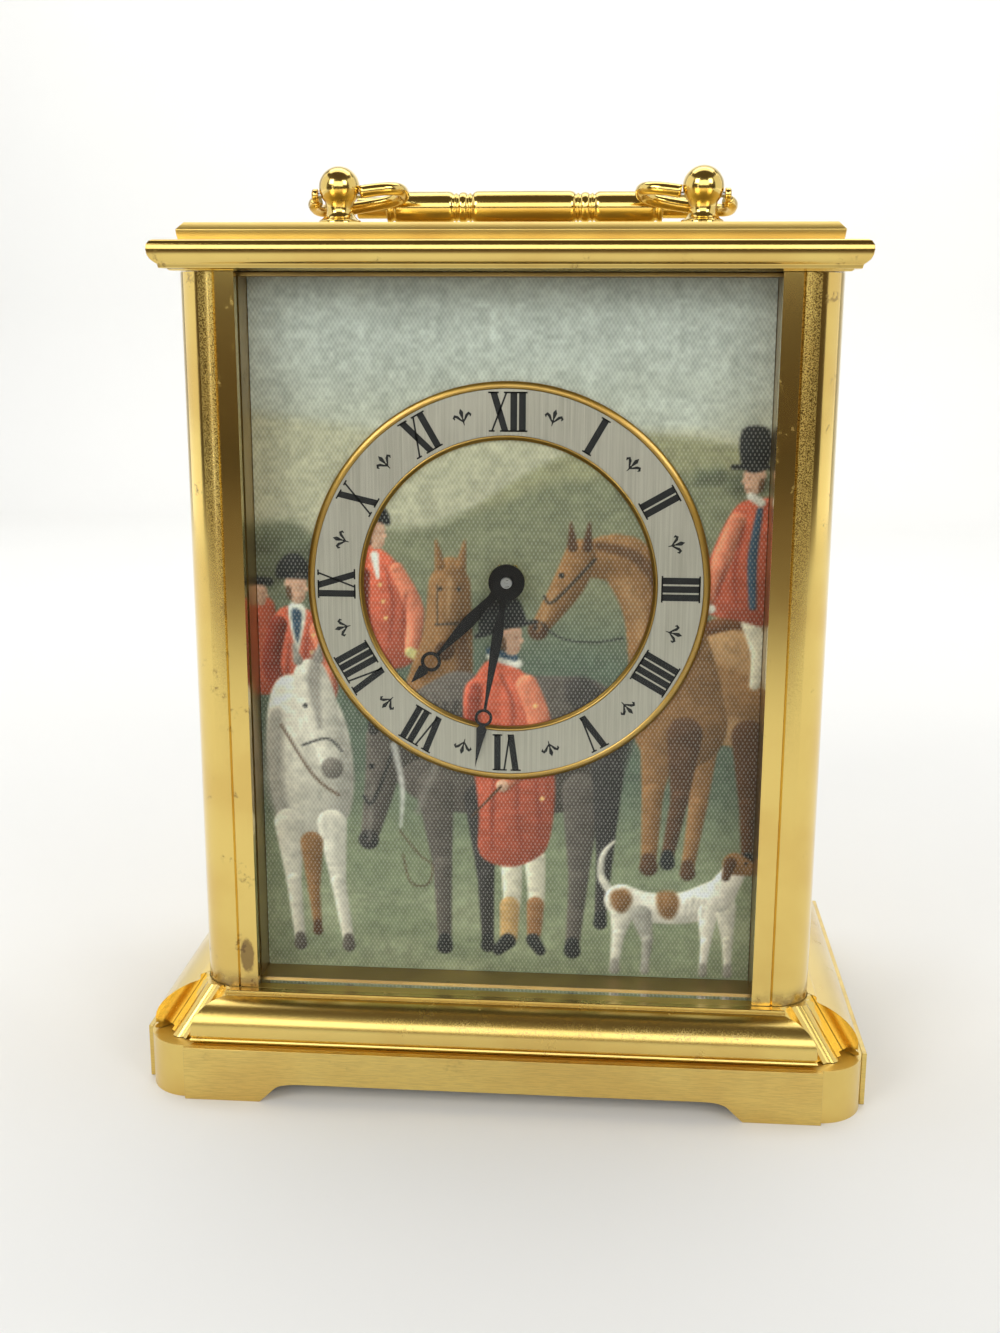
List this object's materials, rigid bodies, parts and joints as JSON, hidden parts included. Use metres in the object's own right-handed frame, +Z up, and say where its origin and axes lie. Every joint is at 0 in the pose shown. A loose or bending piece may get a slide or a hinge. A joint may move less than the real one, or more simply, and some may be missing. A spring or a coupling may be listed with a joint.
{
  "type": "mantel clock",
  "caption": "Upright brass mantel clock with round-cornered columns, stepped base, woven picture behind glass, open chapter ring and a folding carrying handle.",
  "frame": {"origin": "middle of the footprint, on the surface the clock stands on", "axes": "+Z up, +X to the viewer's right when looking at the dial, front of the clock faces -Y"},
  "size_m": [0.14, 0.095, 0.1762],
  "materials": {
    "polished_brass": "polished and lacquered, lightly tarnished",
    "satin_brass": "satin",
    "steel": "plain turned and pressed steel",
    "felt": "dark green felt",
    "glass": "clear",
    "fibreboard": "bare brown fibreboard",
    "woven_picture": "woven picture cloth, matt",
    "silvered_metal": "brushed silver",
    "black_enamel": "gloss black",
    "black_plastic": "moulded, matt",
    "battery_sleeve": "printed metal sleeve, no lettering"
  },
  "bodies": {
    "case": {"plinth_frame": "satin_brass", "plinth_panel_front": "polished_brass", "plinth_panel_back": "polished_brass", "plinth_panel_right": "polished_brass", "plinth_panel_left": "polished_brass", "foot_pad_front_left": "felt", "foot_pad_front_right": "felt", "foot_pad_back_left": "felt", "foot_pad_back_right": "felt", "bottom_plate": "steel", "bottom_screw_left": "steel", "bottom_screw_right": "steel", "base_moulding_front": "polished_brass", "base_moulding_back": "polished_brass", "base_moulding_left": "polished_brass", "base_moulding_right": "polished_brass", "corner_strut_front_right": "polished_brass", "corner_strut_front_left": "polished_brass", "corner_strut_back_right": "polished_brass", "corner_strut_back_left": "polished_brass", "base_core": "polished_brass", "column_front_right": "polished_brass", "column_front_left": "polished_brass", "column_back_right": "polished_brass", "column_back_left": "polished_brass", "front_glass": "glass", "side_panel_left": "polished_brass", "side_panel_right": "polished_brass", "back_frame": "satin_brass", "shadow_box": "polished_brass", "dial_board": "fibreboard", "picture_panel": "woven_picture", "chapter_ring": "polished_brass", "chapter_face": "silvered_metal", "bushing_nut": "polished_brass", "movement_shell": "black_plastic", "movement_cover": "black_plastic", "battery": "battery_sleeve", "contact_plus": "steel", "contact_minus": "steel", "cornice": "polished_brass", "top_plate": "polished_brass", "handle_post_left": "polished_brass", "handle_post_right": "polished_brass"},
    "handle": {"handle_grip": "polished_brass", "handle_arm_left": "polished_brass", "handle_arm_right": "polished_brass", "handle_pin_left": "steel", "handle_pin_right": "steel"},
    "minute": {"minute_hand": "black_enamel", "centre_arbor": "steel", "set_knob": "black_plastic"},
    "hour": {"hour_hand": "black_enamel", "hour_wheel": "polished_brass"},
    "motion_wheel": {"minute_wheel": "polished_brass"},
    "door": {"back_door": "satin_brass", "door_knob": "polished_brass"},
    "regulator": {"regulator_lever": "steel"}
  },
  "joints": [
    {"name": "handle_swing", "type": "hinge", "parent": "case", "child": "handle", "pos_m": [0, 0, 0.1707], "axis": [1, 0, 0], "range_deg": [0, 180]},
    {"name": "minute_turn", "type": "hinge", "parent": "case", "child": "minute", "pos_m": [0, -0.0305, 0.0993], "axis": [0, 1, 0], "continuous": true},
    {"name": "hour_turn", "type": "hinge", "parent": "case", "child": "hour", "pos_m": [0, -0.0297, 0.0993], "axis": [0, 1, 0], "continuous": true},
    {"name": "motion_wheel_turn", "type": "hinge", "parent": "case", "child": "motion_wheel", "pos_m": [0, -0.021, 0.0893], "axis": [0, 1, 0], "continuous": true},
    {"name": "door_hinge", "type": "hinge", "parent": "case", "child": "door", "pos_m": [-0.0456, 0.03745, 0.0875], "axis": [0, 0, 1], "range_deg": [0, 110]},
    {"name": "regulator_swing", "type": "hinge", "parent": "case", "child": "regulator", "pos_m": [0.015, -0.0016, 0.1153], "axis": [0, 1, 0], "range_deg": [-20, 20]}
  ],
  "couplings": [
    {"joint": "hour_turn", "follows": "minute_turn", "ratio": 0.083333},
    {"joint": "motion_wheel_turn", "follows": "minute_turn", "ratio": -0.33333}
  ]
}
